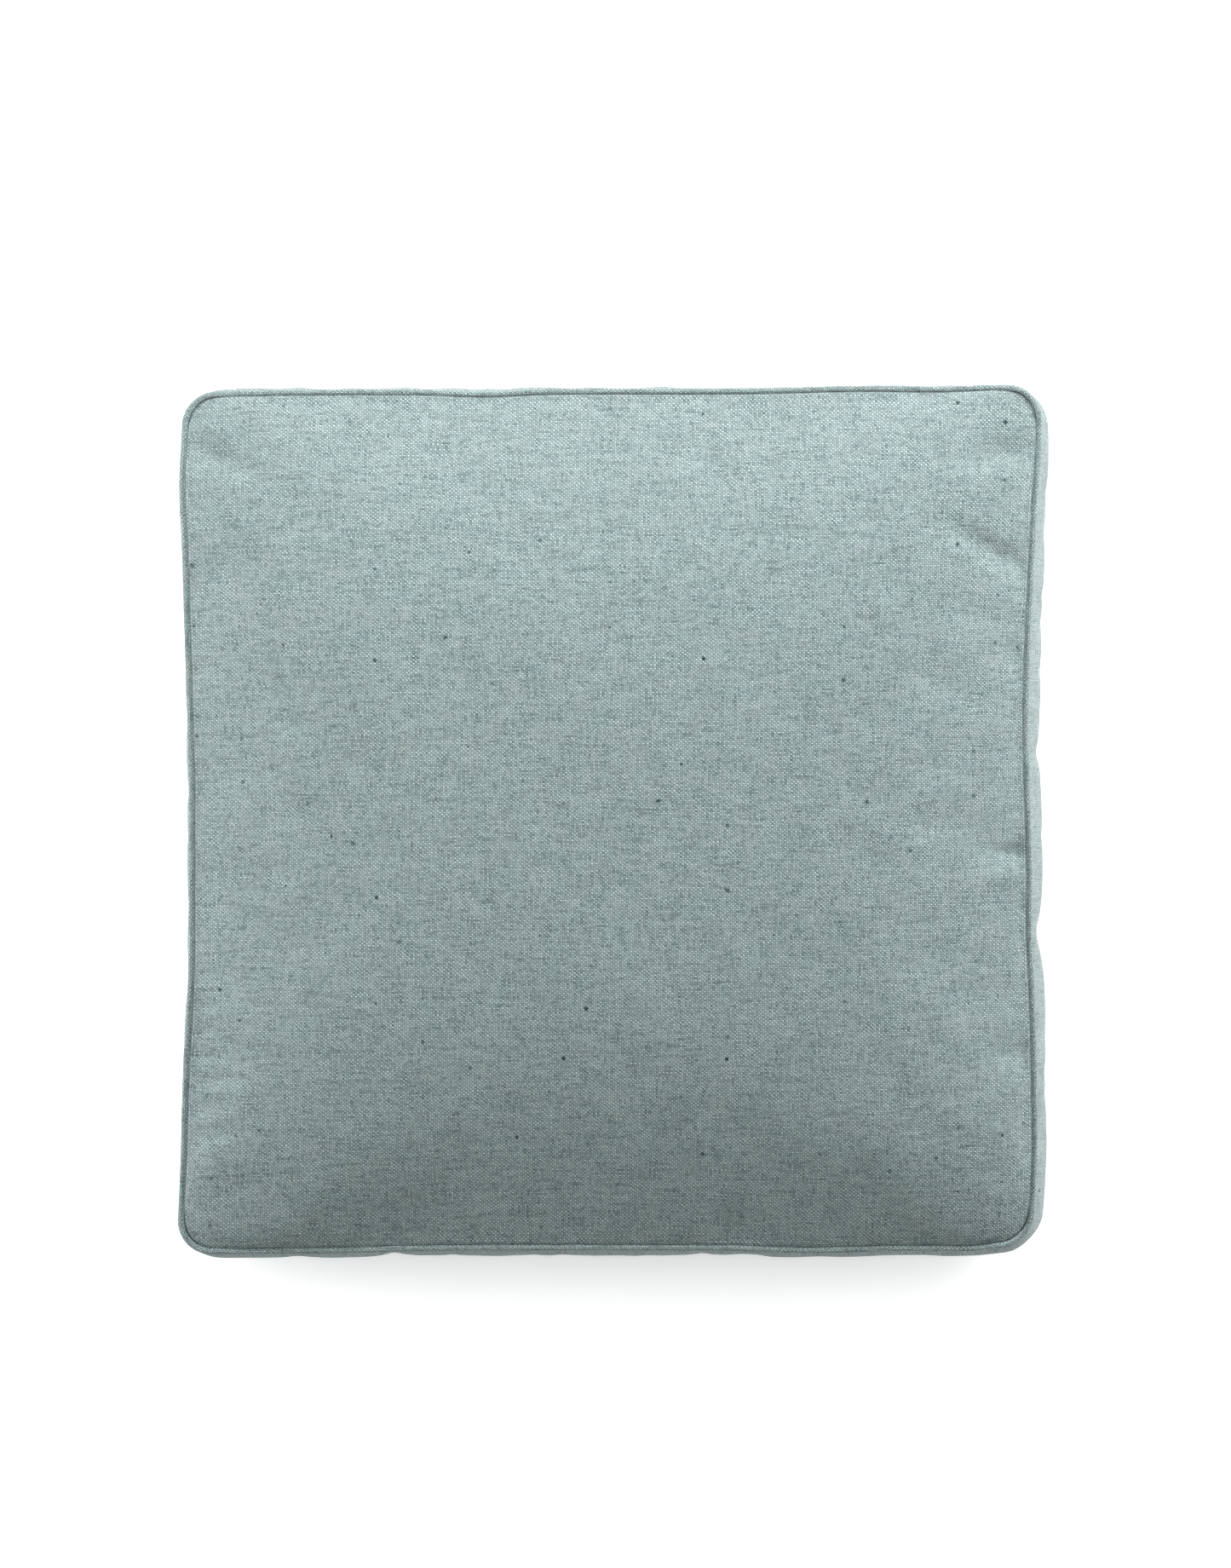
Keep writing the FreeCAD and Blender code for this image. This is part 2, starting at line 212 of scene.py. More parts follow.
def outline(q, half, corner):
    """A point on a level square with round corners. q runs from 0 to 8, anticlockwise from the
    start of the right side: a straight side and then a corner, four times over."""
    straight = half - corner
    part = np.floor(q)
    along = q - part
    angle = np.where(part % 2 == 0, 0, along) * math.pi / 2
    place = np.where(part % 2 == 0, (2 * along - 1) * straight, straight)
    x = straight + corner * np.cos(angle)
    y = place + corner * np.sin(angle)
    turn = np.floor(part / 2) * math.pi / 2
    return x * np.cos(turn) - y * np.sin(turn), x * np.sin(turn) + y * np.cos(turn)


def stations(start, end, straight_step, corner_step):
    """Values of q from start to end, with steps of about these lengths along the seam."""
    found = []
    edge = start
    while edge < end - 1e-9:
        stop = min(math.floor(edge + 1e-9) + 1, end)
        is_side = math.floor(edge + 1e-9) % 2 == 0
        length = (stop - edge) * (2 * (SEAM - CORNER) if is_side else CORNER * math.pi / 2)
        steps = max(1, round(length / (straight_step if is_side else corner_step)))
        found += list(np.linspace(edge, stop, steps, endpoint=False))
        edge = stop
    return np.array(found + [end])


def zip_side_out(height):
    """How far the back stands out past the seam line, at a height above the middle of the zip."""
    d = np.abs(height)
    flat = TAPE_Y + 0.0027 - SEAM
    rim = 0.6 * (UPPER - MIDDLE)
    full = UPPER - MIDDLE
    rise = flat + (BULGE - flat) * smooth((d - 2 * FOLD) / (rim - 2 * FOLD))
    fall = BULGE * (1 - np.clip((d - rim) / (full - rim), 0, 1) ** 3)
    return np.where(d < rim, rise, fall)


def band_points(q, rows):
    """The side band from one end of the zip, round the front, to the other end."""
    share = np.linspace(-1, 1, rows)
    points, uvs = [], []
    run = np.concatenate([[0], np.cumsum(np.hypot(*np.diff(outline(q % 8, SEAM, CORNER), axis=1)))])
    for s in share:
        out = BULGE * (1 - abs(s) ** 3)
        x, y = outline(q % 8, SEAM + out, CORNER + out)
        z = np.full_like(x, MIDDLE + s * (UPPER - LOWER) / 2)
        near_zip = smooth((0.292 - np.abs(x)) / 0.028) * (y > 0)
        full = out / BULGE * (1 - near_zip)
        x = x + ASKEW[0] * full
        y = y + ASKEW[1] * full * (1 - y / SEAM) / 2
        turned = smooth((ZIP_HALF + 0.003 - np.abs(x)) / 0.003) * (y > 0)
        y = y + near_zip * (SEAM + zip_side_out(z - MIDDLE) - y) - 0.0006 * turned
        points.append(np.stack([x, y, z], axis=1))
        uvs.append(np.stack([z, run], axis=1))
    return np.concatenate(points), np.concatenate(uvs)


# ---- cloth simulation ----------------------------------------------------------------------------


def inflate(points, faces, held, pressure, growth, cap, frames=22):
    """How far each point of a cloth panel moves when it is cut a little too large for the seams
    that hold it, and is blown up from inside. No point moves further than about cap."""
    obj = make_object("simulated", points, faces)
    sewn = obj.vertex_groups.new(name="sewn")
    sewn.add([int(i) for i in np.nonzero(held)[0]], 1.0, "REPLACE")
    cloth = obj.modifiers.new("cloth", "CLOTH")
    fabric = cloth.settings
    fabric.quality = 6
    fabric.mass = 0.3
    fabric.tension_stiffness = 25
    fabric.compression_stiffness = 25
    fabric.shear_stiffness = 10
    fabric.bending_stiffness = 1.5
    fabric.tension_damping = 10
    fabric.bending_damping = 1
    fabric.air_damping = 4
    fabric.vertex_group_mass = "sewn"
    fabric.shrink_min = -growth
    fabric.use_pressure = True
    fabric.uniform_pressure_force = pressure
    fabric.effector_weights.gravity = 0
    cloth.point_cache.frame_start = 1
    cloth.point_cache.frame_end = frames
    scene = bpy.context.scene
    for step in range(1, frames + 1):
        scene.frame_set(step)
    settled = obj.evaluated_get(bpy.context.evaluated_depsgraph_get())
    moved = np.zeros(len(points) * 3, np.float32)
    settled.data.vertices.foreach_get("co", moved)
    scene.frame_set(1)
    bpy.data.objects.remove(obj)
    move = moved.reshape(-1, 3).astype(float) - points
    length = np.linalg.norm(move, axis=1, keepdims=True)
    return move * (cap / np.maximum(length, 1e-9)) * np.tanh(length / cap)


def carry_over(move, old_rows, old_columns, new_rows, new_columns):
    """Values on a grid carried over to a finer one, and evened out a little. A grid is given by the
    place of each of its rows and columns."""
    coarse = move.reshape(len(old_rows), len(old_columns), 3)
    wide = np.stack([[np.interp(new_columns, old_columns, row[:, k]) for row in coarse] for k in range(3)], axis=2)
    fine = np.stack([[np.interp(new_rows, old_rows, column[:, k]) for column in wide.swapaxes(0, 1)] for k in range(3)])
    fine = fine.transpose(2, 1, 0)
    for _ in range(3):
        inner = fine[1:-1, 1:-1]
        around = fine[:-2, 1:-1] + fine[2:, 1:-1] + fine[1:-1, :-2] + fine[1:-1, 2:]
        fine[1:-1, 1:-1] = (2 * inner + around) / 6
    return fine.reshape(-1, 3)


# ---- materials -----------------------------------------------------------------------------------


class Graph:
    """Short calls that add and join the nodes of one material."""

    def __init__(self, name):
        self.material = bpy.data.materials.new(name)
        self.material.use_nodes = True
        self.tree = self.material.node_tree
        self.tree.nodes.clear()
        self.shader = self.add("ShaderNodeBsdfPrincipled")
        output = self.add("ShaderNodeOutputMaterial")
        self.tree.links.new(self.shader.outputs["BSDF"], output.inputs["Surface"])

    def add(self, kind, **settings):
        node = self.tree.nodes.new(kind)
        for key, value in settings.items():
            setattr(node, key, value)
        return node

    def put(self, socket, value):
        if isinstance(value, bpy.types.NodeSocket):
            self.tree.links.new(value, socket)
        else:
            socket.default_value = value

    def math(self, operation, *values):
        node = self.add("ShaderNodeMath", operation=operation)
        for socket, value in zip(node.inputs, values):
            self.put(socket, value)
        return node.outputs[0]

    def vector(self, x, y, z=0.0):
        node = self.add("ShaderNodeCombineXYZ")
        for socket, value in zip(node.inputs, (x, y, z)):
            self.put(socket, value)
        return node.outputs[0]

    def split(self, vector):
        node = self.add("ShaderNodeSeparateXYZ")
        self.put(node.inputs[0], vector)
        return node.outputs[0], node.outputs[1], node.outputs[2]

    def noise(self, vector, scale, detail=2.0, roughness=0.5):
        node = self.add("ShaderNodeTexNoise")
        self.put(node.inputs["Vector"], vector)
        node.inputs["Scale"].default_value = scale
        node.inputs["Detail"].default_value = detail
        node.inputs["Roughness"].default_value = roughness
        return node.outputs["Fac"]

    def spread(self, value, low, high, to_low=0.0, to_high=1.0):
        """value from low to high becomes to_low to to_high, and stays within them."""
        node = self.add("ShaderNodeMapRange")
        for socket, number in zip(node.inputs, (value, low, high, to_low, to_high)):
            self.put(socket, number)
        return node.outputs[0]

    def choose(self, share, a, b):
        """A number that is a where share is 0 and b where it is 1."""
        node = self.add("ShaderNodeMix", data_type="FLOAT")
        for index, value in ((0, share), (2, a), (3, b)):
            self.put(node.inputs[index], value)
        return node.outputs[0]

    def mix(self, share, a, b):
        """A colour that is a where share is 0 and b where it is 1."""
        node = self.add("ShaderNodeMix", data_type="RGBA")
        for index, value in ((0, share), (6, a), (7, b)):
            self.put(node.inputs[index], value)
        return node.outputs[2]

    def dim(self, colour, factor):
        node = self.add("ShaderNodeVectorMath", operation="SCALE")
        self.put(node.inputs[0], colour if isinstance(colour, bpy.types.NodeSocket) else colour[:3])
        self.put(node.inputs["Scale"], factor)
        return node.outputs[0]

    def finish(self, colour, roughness, height=None, depth=0.0, **fixed):
        """Joins colour, roughness and relief to the shader, and sets its other values."""
        self.put(self.shader.inputs["Base Color"], colour)
        self.put(self.shader.inputs["Roughness"], roughness)
        for key, value in fixed.items():
            self.shader.inputs[key.replace("_", " ")].default_value = value
        if height is not None:
            bump = self.add("ShaderNodeBump")
            bump.inputs["Distance"].default_value = depth
            self.put(bump.inputs["Height"], height)
            self.put(self.shader.inputs["Normal"], bump.outputs[0])
        return self.material


def rgb(r, g, b):
    return (r, g, b, 1.0)


def plain_weave(name, dark, middle, light, pitch=(WARP_PITCH, WEFT_PITCH), depth=0.0004, slubby=1.0):
    """Plain-woven cloth: threads that pass over and under each other, each with its own tone that
    drifts along it, with thicker pale slubs, a few dark neps and a fine fuzz."""
    g = Graph(name)
    flat = g.add("ShaderNodeUVMap", uv_map="cloth").outputs[0]
    u, v, _ = g.split(flat)
    wander_u = g.spread(g.noise(flat, 60, 1), 0.3, 0.7, -0.3, 0.3)
    wander_v = g.spread(g.noise(g.vector(v, u, 0.37), 60, 1), 0.3, 0.7, -0.3, 0.3)
    across = g.math("ADD", g.math("DIVIDE", u, pitch[0]), wander_u)
    along = g.math("ADD", g.math("DIVIDE", v, pitch[1]), wander_v)
    warp = g.math("FLOOR", across)
    weft = g.math("FLOOR", along)
    on_top = g.math("FLOORED_MODULO", g.math("ADD", warp, weft), 2.0)

    def hump(t, across_it):
        """1 along the middle of each thread and 0 between threads, on a slant from the yarn's twist."""
        slant = g.math("MULTIPLY", g.math("SUBTRACT", g.math("FRACT", across_it), 0.5), 0.25)
        f = g.math("PINGPONG", g.math("ADD", g.math("FRACT", t), slant), 1.0)
        return g.math("MULTIPLY", g.math("MULTIPLY", f, g.math("SUBTRACT", 1.0, f)), 4.0)

    hump_u = hump(across, along)
    hump_v = hump(along, across)
    warp_height = g.math("MULTIPLY", hump_u, g.spread(hump_v, 0.0, 1.0, 0.45, 1.0))
    weft_height = g.math("MULTIPLY", hump_v, g.spread(hump_u, 0.0, 1.0, 0.45, 1.0))
    height = g.choose(on_top, weft_height, warp_height)

    def own_noise(index, run, rate, shift):
        """Noise along a thread, at this many changes a metre, unlike that of its neighbours."""
        place = g.vector(g.math("MULTIPLY", index, 17.31), g.math("MULTIPLY", run, rate), shift)
        return g.noise(place, 1.0, 2)

    warp_tone = own_noise(warp, v, 60.0, 0.0)
    weft_tone = own_noise(weft, u, 60.0, 9.3)
    warp_slub = g.spread(own_noise(warp, v, 20.0, 17.0), 0.66, 0.76)
    weft_slub = g.spread(own_noise(weft, u, 14.0, 31.0), 0.66, 0.76)
    slub = g.math("MULTIPLY", g.choose(on_top, weft_slub, warp_slub), slubby)
    knot = g.add("ShaderNodeTexWhiteNoise", noise_dimensions="2D")
    g.put(knot.inputs["Vector"], g.vector(warp, weft))
    tone = g.choose(on_top, weft_tone, warp_tone)
    tone = g.math("ADD", g.spread(tone, 0.25, 0.75, 0.0, 0.6), g.math("MULTIPLY", knot.outputs["Value"], 0.4))

    colour = g.mix(g.spread(tone, 0.0, 0.5), dark, middle)
    colour = g.mix(g.spread(tone, 0.5, 1.0), colour, light)
    colour = g.mix(g.math("MULTIPLY", slub, 0.35), colour, light)
    colour = g.dim(colour, g.choose(on_top, 1.26, 0.78))
    drift = g.spread(g.noise(flat, 40, 3, 0.6), 0.3, 0.7, 0.96, 1.04)
    # Painted highlight and painted shade: each thread's colour is brightened along its raised middle and darkened in
    # the gaps between threads, by its relief height. The drift is the cloth's own tone.
    colour = g.dim(colour, g.math("MULTIPLY", drift, g.spread(height, 0.0, 0.66, 0.04, 1.16)))

    blush = g.spread(g.noise(g.vector(u, v, 4.1), 60, 2), 0.35, 0.65)
    colour = g.mix(g.math("MULTIPLY", blush, 0.10 * slubby), colour, rgb(0.36, 0.33, 0.33))

    spots = g.add("ShaderNodeTexVoronoi", voronoi_dimensions="2D")
    fray = g.math("MULTIPLY", g.noise(flat, 900, 1), 0.0022)
    g.put(spots.inputs["Vector"], g.vector(g.math("ADD", u, fray), g.math("SUBTRACT", v, fray)))
    spots.inputs["Scale"].default_value = 62.0
    pick, size, strength = g.split(spots.outputs["Color"])
    chosen = g.spread(pick, 0.92, 0.93)
    edge = g.spread(size, 0.0, 1.0, 0.045, 0.095)
    nep = g.math("MULTIPLY", g.math("LESS_THAN", spots.outputs["Distance"], edge), chosen)
    nep = g.math("MULTIPLY", nep, g.spread(strength, 0.0, 1.0, 0.45, 1.0))
    nep = g.math("MULTIPLY", nep, slubby)
    colour = g.mix(nep, colour, rgb(0.012, 0.040, 0.036))

    fuzz = g.noise(flat, 2600, 2)
    relief = g.math("ADD", g.math("ADD", height, g.math("MULTIPLY", slub, 0.5)), g.math("MULTIPLY", fuzz, 0.35))
    roughness = g.spread(height, 0.0, 1.0, 0.97, 0.84)
    return g.finish(
        colour, roughness, relief, depth,
        Sheen_Weight=0.30, Sheen_Roughness=0.50, Specular_IOR_Level=0.25,
    )


def herringbone(name, dark, light):
    """The narrow woven tape of a zip."""
    g = Graph(name)
    x, _, z = g.split(g.add("ShaderNodeTexCoord").outputs["Object"])
    zigzag = g.math("PINGPONG", z, 0.0024)
    ribs = g.math("SINE", g.math("MULTIPLY", g.math("ADD", x, zigzag), 2 * math.pi / 0.0009))
    tone = g.spread(ribs, -1.0, 1.0)
    worn = g.spread(g.noise(g.vector(x, z), 400, 3), 0.3, 0.7, 0.9, 1.1)
    # Painted shade: the tape is darker in the grooves between its ribs, the same ribs that give its bump. The worn
    # noise is the tape's own uneven tone.
    return g.finish(g.dim(g.mix(tone, dark, light), worn), 0.85, tone, 0.00012, Sheen_Weight=0.1)


def moulded(name, base, worn_base, roughness, metallic, grain=900, wear=0.5):
    """A small hard part: enamelled metal or nylon with a fine grain and slightly worn places."""
    g = Graph(name)
    place = g.add("ShaderNodeTexCoord").outputs["Object"]
    rub = g.noise(place, 260, 4, 0.65)
    fine = g.noise(place, grain, 3)
    colour = g.mix(g.math("MULTIPLY", g.spread(rub, 0.50, 0.68), wear), base, worn_base)
    gloss = g.spread(fine, 0.3, 0.7, roughness - 0.08, roughness + 0.10)
    return g.finish(colour, gloss, fine, 0.00003, Metallic=metallic, Specular_IOR_Level=0.5)


def twisted(name, base, shade, pitch):
    """Thread or cord laid up from strands, seen as slanting ridges. Its UVs run along and around."""
    g = Graph(name)
    along, around, _ = g.split(g.add("ShaderNodeUVMap", uv_map="cloth").outputs[0])
    turn = g.math("ADD", g.math("DIVIDE", along, pitch), g.math("DIVIDE", around, pitch))
    ridge = g.math("ABSOLUTE", g.math("SINE", g.math("MULTIPLY", turn, math.pi)))
    fuzz = g.noise(g.vector(along, around), 3000, 2)
    # Painted shade: the colour goes from base on the strands' ridges to the shade colour in the grooves between them,
    # the same ridges that give the bump.
    colour = g.dim(g.mix(ridge, shade, base), g.spread(fuzz, 0.3, 0.7, 0.92, 1.06))
    return g.finish(colour, g.spread(ridge, 0.0, 1.0, 0.8, 0.6), ridge, 0.00015, Sheen_Weight=0.15)


def loose_fill(name, base, shade, size, depth):
    """Foam or wadding, with open cells or fibres of about this size."""
    g = Graph(name)
    place = g.add("ShaderNodeTexCoord").outputs["Object"]
    cells = g.add("ShaderNodeTexVoronoi")
    g.put(cells.inputs["Vector"], place)
    cells.inputs["Scale"].default_value = 1 / size
    cloud = g.noise(place, 12, 4, 0.6)
    relief = g.math("ADD", cells.outputs["Distance"], g.math("MULTIPLY", cloud, 0.5))
    # Painted shade: darker towards the middle of each cell, in the hollows of the foam or the gaps among the fibres,
    # where the relief also dips.
    return g.finish(g.mix(cells.outputs["Distance"], shade, base), g.spread(cloud, 0.3, 0.7, 0.9, 1.0), relief, depth)


def floor_with_painted_shadow():
    """Bright paper that glows by itself through its emission, with a painted contact shadow: the emission is dimmed by
    ambient occlusion close to what stands on it.
    """
    g = Graph("floor_paper_painted_shadow")
    grain = g.noise(g.add("ShaderNodeTexCoord").outputs["Object"], 300, 3)
    colour = g.mix(g.spread(grain, 0.4, 0.6), rgb(0.90, 0.90, 0.90), rgb(0.93, 0.93, 0.93))
    painted_shadow_mask = g.add("ShaderNodeAmbientOcclusion", samples=8)
    painted_shadow_mask.inputs["Distance"].default_value = 0.06
    # Painted contact shadow: the floor's emission drops from 0.68 in the open to 0.40 where ambient occlusion finds the
    # cushion within 60 mm.
    glow_with_painted_shadow = g.spread(painted_shadow_mask.outputs["AO"], 0.55, 0.97, 0.40, 0.68)
    g.put(g.shader.inputs["Emission Strength"], glow_with_painted_shadow)
    return g.finish(
        colour, g.spread(grain, 0.3, 0.7, 0.92, 1.0), None, 0.0,
        Emission_Color=rgb(1, 1, 1), Specular_IOR_Level=0.1,
    )


linen = plain_weave("linen", rgb(0.070, 0.118, 0.116), rgb(0.270, 0.362, 0.358), rgb(0.430, 0.515, 0.510))
ticking = plain_weave(
    "ticking", rgb(0.55, 0.54, 0.50), rgb(0.74, 0.73, 0.69), rgb(0.86, 0.85, 0.82), (0.0007, 0.0007), 0.0001, 0.0
)
tape_cloth = herringbone("zip_tape_cloth", rgb(0.12, 0.17, 0.168), rgb(0.25, 0.32, 0.315))
nylon = moulded("zip_nylon", rgb(0.17, 0.23, 0.225), rgb(0.25, 0.32, 0.31), 0.38, 0.0, wear=0.3)
enamel = moulded("zip_enamel", rgb(0.19, 0.25, 0.245), rgb(0.50, 0.50, 0.48), 0.34, 0.55)
thread = twisted("sewing_thread", rgb(0.42, 0.50, 0.49), rgb(0.16, 0.21, 0.21), 0.0006)
cotton_cord = twisted("cotton_cord", rgb(0.80, 0.77, 0.70), rgb(0.45, 0.43, 0.38), 0.0018)
foam = loose_fill("foam", rgb(0.85, 0.78, 0.55), rgb(0.62, 0.55, 0.36), 0.0015, 0.0004)
wadding = loose_fill("wadding", rgb(0.88, 0.88, 0.87), rgb(0.70, 0.70, 0.69), 0.004, 0.001)


def dress(obj, material, body="cushion"):
    obj.data.materials.clear()
    obj.data.materials.append(material)
    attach(obj, body)
    return obj


# ---- cover ---------------------------------------------------------------------------------------

# Folds that the seams throw into the top: (x, y, direction in degrees, length, width, depth).
FOLDS = [
    (0.272, 0.256, 12, 0.024, 0.008, 0.0057),
    (0.262, 0.189, -28, 0.036, 0.008, 0.0051),
    (0.280, 0.114, 5, 0.016, 0.008, 0.0021),
    (0.278, -0.022, 4, 0.022, 0.006, 0.0054),
    (0.278, -0.040, 4, 0.022, 0.007, -0.0030),
    (0.282, -0.162, 8, 0.020, 0.007, 0.0042),
    (0.276, -0.190, 20, 0.022, 0.009, -0.0030),
    (-0.270, 0.251, -30, 0.028, 0.009, 0.0048),
    (-0.280, 0.170, 12, 0.024, 0.014, 0.0042),
    (-0.282, 0.085, 0, 0.020, 0.012, -0.0027),
    (-0.283, -0.128, 3, 0.014, 0.005, 0.0027),
    (-0.282, -0.146, 3, 0.016, 0.005, 0.0033),
    (-0.282, -0.164, 6, 0.017, 0.005, 0.0030),
    (-0.280, -0.181, 8, 0.019, 0.005, 0.0034),
    (-0.281, -0.199, 10, 0.017, 0.005, 0.0030),
    (-0.278, -0.218, 14, 0.019, 0.006, 0.0033),
    (-0.150, -0.282, 86, 0.018, 0.010, 0.0027),
    (0.090, -0.282, 94, 0.018, 0.012, 0.0027),
]


def folded(points):
    """How far each point of the top is pressed down by the folds."""
    x, y = points[:, 0], points[:, 1]
    drop = np.zeros(len(points))
    for cx, cy, degrees, length, width, depth in FOLDS:
        c, s = math.cos(math.radians(degrees)), math.sin(math.radians(degrees))
        along = (x - cx) * c + (y - cy) * s
        across = (y - cy) * c - (x - cx) * s
        drop += depth * gaussian(along, 0, length) * gaussian(across, 0, width)
    return drop


def make_panel(name, height, up, count, pressure, growth, cap):
    """The top or bottom panel: inflated between its seams, then sunk into them at the edge."""
    rough_t = np.linspace(-1, 1, count)
    near_seam = 1 - np.array([0.0006, 0.0014, 0.0028]) / SEAM
    fine_t = np.unique(np.concatenate([np.linspace(-1, 1, 2 * count - 1), near_seam, -near_seam]))
    rough, ring, _ = panel_points(height, rough_t)
    held = ring > 1 - 1e-6
    if up < 0:
        held |= rough[:, 2] < 1e-6
    faces = grid_faces(count, count)
    if up < 0:
        faces = [f[::-1] for f in faces]
    move = inflate(settle(rough), faces, held, pressure, growth, cap)
    points, ring, flat = panel_points(height, fine_t)
    points = settle(points) + carry_over(move, rough_t, rough_t, fine_t, fine_t)
    to_seam = (1 - ring) * SEAM
    inside = smooth(to_seam / 0.02)
    if up > 0:
        points[:, 2] -= folded(points) * smooth(to_seam / 0.006)
        points[:, 2] += 0.0011 * rough_ground(points, 11, 1) * inside
        points[:, 2] += 0.0005 * rough_ground(points, 34, 2) * inside
    points[:, 2] -= up * 0.0024 * np.exp(-to_seam / 0.0011)
    if up < 0:
        points[:, 2] = np.maximum(points[:, 2], 0.0)
    faces = grid_faces(len(fine_t), len(fine_t))
    if up < 0:
        faces = [f[::-1] for f in faces]
    obj = make_object(name, points, faces, flat)
    thicken(obj, CLOTH)
    return obj


top = make_panel("cover_top", crown_height, 1, 97, 1.5, 0.004, 0.006)
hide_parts("top_panel")
dress(top, linen)

bottom = make_panel("cover_bottom", base_height, -1, 65, 1.5, 0.010, 0.006)
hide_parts("bottom_panel")
dress(bottom, linen)

ZIP_END = (ZIP_HALF + SEAM - CORNER) / (2 * (SEAM - CORNER))  # where the strips end, along the back
BAND_ROWS = 17
band_q = stations(2 + ZIP_END, 10 + 1 - ZIP_END, 0.0055, 0.0045)
coarse, _ = band_points(band_q, BAND_ROWS)
columns = len(band_q)
held = np.zeros((BAND_ROWS, columns), bool)
held[0] = held[-1] = True
held[:, 0] = held[:, -1] = True
band_move = inflate(
    settle(coarse), grid_faces(BAND_ROWS, columns), held.ravel(), 2.5, 0.012, 0.005
)
fine_q = np.interp(np.linspace(0, columns - 1, 2 * columns - 1), np.arange(columns), band_q)
points, flat = band_points(fine_q, 2 * BAND_ROWS - 1)
rough_rows = np.linspace(-1, 1, BAND_ROWS)
fine_rows = np.linspace(-1, 1, 2 * BAND_ROWS - 1)
points = settle(points) + carry_over(band_move, rough_rows, band_q, fine_rows, fine_q)
band = make_object("cover_band", points, grid_faces(2 * BAND_ROWS - 1, 2 * columns - 1), flat)
thicken(band, CLOTH)
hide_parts("side_band")
dress(band, linen)


def strip_profile():
    """A back strip from its seam to its folded edge and back up inside: distances out and up from
    the middle of the zip, for the upper strip."""
    full = UPPER - MIDDLE
    up = np.linspace(full, FOLD + 0.0012, 26)
    out = SEAM + zip_side_out(up)
    turn = np.linspace(0, math.pi, 7)[1:]
    radius = 0.0006
    fold_out = out[-1] - radius + radius * np.cos(turn)
    fold_up = up[-1] - 1.6 * radius * np.sin(turn)
    hem_up = np.linspace(FOLD + 0.0025, FOLD + 0.008, 4)
    hem_out = np.full(4, out[-1] - 2 * radius)
    return np.concatenate([out, fold_out, hem_out]), np.concatenate([up, fold_up, hem_up])


def make_strip(name, side):
    out, up = strip_profile()
    xs = np.linspace(-ZIP_HALF, ZIP_HALF, 211)
    rows = [np.stack([xs, np.full_like(xs, o), np.full_like(xs, MIDDLE + side * u)], axis=1) for o, u in zip(out, up)]
    points = np.concatenate(rows)
    height = np.repeat(up, len(xs))
    loose = smooth((height - 2.2 * FOLD) / 0.012) * smooth((UPPER - MIDDLE - height) / 0.006)
    points[:, 1] += 0.0011 * loose * rough_ground(points * np.array([1, 0.2, 0.5]), 55, 4 + side)
    points[:, 1] += 0.0012 * loose * rough_ground(points, 18, 7 + side)
    length = np.concatenate([[0], np.cumsum(np.hypot(np.diff(out), np.diff(up)))])
    flat = np.stack([np.tile(xs, len(out)), np.repeat(length, len(xs))], axis=1)
    faces = grid_faces(len(out), len(xs))
    if side < 0:
        faces = [f[::-1] for f in faces]
    obj = make_object(name, settle(points), faces, flat)
    thicken(obj, CLOTH)
    return obj


for name, side in (("upper", 1), ("lower", -1)):
    strip = make_strip("cover_strip_" + name, side)
    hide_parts("back_strip_" + name)
    dress(strip, linen)


def make_tube(name, path, radius, sides):
    """A closed level loop of tube, with UVs that run along and around it in metres."""
    ahead = np.roll(path, -1, axis=0) - np.roll(path, 1, axis=0)
    ahead /= np.linalg.norm(ahead, axis=1, keepdims=True)
    out = np.cross(ahead, [0, 0, 1])
    out /= np.linalg.norm(out, axis=1, keepdims=True)
    up = np.cross(out, ahead)
    angle = np.linspace(0, 2 * math.pi, sides + 1)
    ring = out[:, None] * np.cos(angle)[None, :, None] + up[:, None] * np.sin(angle)[None, :, None]
    points = path[:, None] + radius * ring
    points = np.concatenate([points, points[:1]])
    steps = np.linalg.norm(np.diff(np.concatenate([path, path[:1]]), axis=0), axis=1)
    run = np.concatenate([[0], np.cumsum(steps)])
    flat = np.stack(np.broadcast_arrays(run[:, None], (angle * radius)[None]), axis=2)
    obj = make_object(name, points.reshape(-1, 3), grid_faces(len(run), sides + 1), flat.reshape(-1, 2))
    weld = obj.modifiers.new("weld", "WELD")
    weld.merge_threshold = 1e-6
    return obj


def seam_path(z, up):
    q = stations(0, 8, 0.003, 0.002)[:-1]
    x, y = outline(q, SEAM + PIPING_LEAN[0], CORNER + PIPING_LEAN[0])
    path = np.stack([x, y, np.full_like(x, z)], axis=1)
    path = settle(path)
    path[:, 2] += up * PIPING_LEAN[1]
    return path


for name, z, up in (("top", UPPER, 1), ("bottom", LOWER, -1)):
    path = seam_path(z, up)
    piping = make_tube("cover_piping_" + name, path, PIPING, 14)
    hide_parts("piping_" + name)
    dress(piping, linen)
    cord = make_tube("piping_filler_" + name, path, CORD, 8)
    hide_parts("piping_" + name + "_cord")
    dress(cord, cotton_cord)


# ---- pad -----------------------------------------------------------------------------------------


def crown_section(ring, inset):
    return ring * (SEAM - inset), ring_corner(ring), crown_height(ring) - inset


def side_section(share, inset):
    out = BULGE * (1 - abs(share) ** 3) - inset
    reach = (UPPER - LOWER) / 2 - inset * 0.5
    return SEAM + out, CORNER + out, MIDDLE + share * reach


def base_section(ring, inset):
    return ring * (SEAM - inset), ring_corner(ring), base_height(ring) + inset


def ring_points(section, q):
    half, corner, z = section
    x, y = outline(q, half, corner)
    y = np.minimum(y, TAPE_Y - 0.0045)  # the pad is pressed flat behind the zip
    return settle(np.stack([x, y, np.full_like(x, z)], axis=1))


